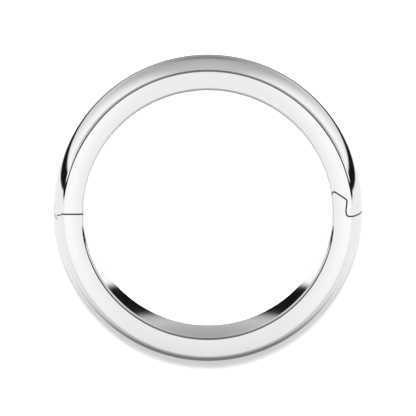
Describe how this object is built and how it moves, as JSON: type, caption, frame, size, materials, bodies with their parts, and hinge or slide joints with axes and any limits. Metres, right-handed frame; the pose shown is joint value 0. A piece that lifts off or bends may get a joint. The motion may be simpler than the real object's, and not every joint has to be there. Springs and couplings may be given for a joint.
{
  "type": "hinged rounded band ring",
  "caption": "Wide domed band finger ring in polished silver, two half bands that open on a hinge pin and close with a snap seam.",
  "frame": {"origin": "centre of the ring on the flat face that it lies on", "axes": "+Z along the finger hole's axis, up from the floor; +X towards the snap, -X towards the hinge; +Y towards the middle of the upper half"},
  "size_m": [0.0216, 0.0216, 0.0059],
  "materials": {
    "lower_silver": "mirror polished sterling silver",
    "upper_silver": "mirror polished sterling silver",
    "pin_silver": "drawn silver wire, lightly rubbed"
  },
  "bodies": {
    "lower_half": {"lower_band": "lower_silver", "hinge_pin": "pin_silver"},
    "upper_half": {"upper_band": "upper_silver"}
  },
  "joints": [
    {"name": "band_hinge", "type": "hinge", "parent": "lower_half", "child": "upper_half", "pos_m": [-0.01014, 0, 0.00295], "axis": [0, 0, 1], "range_deg": [0, 50]}
  ]
}
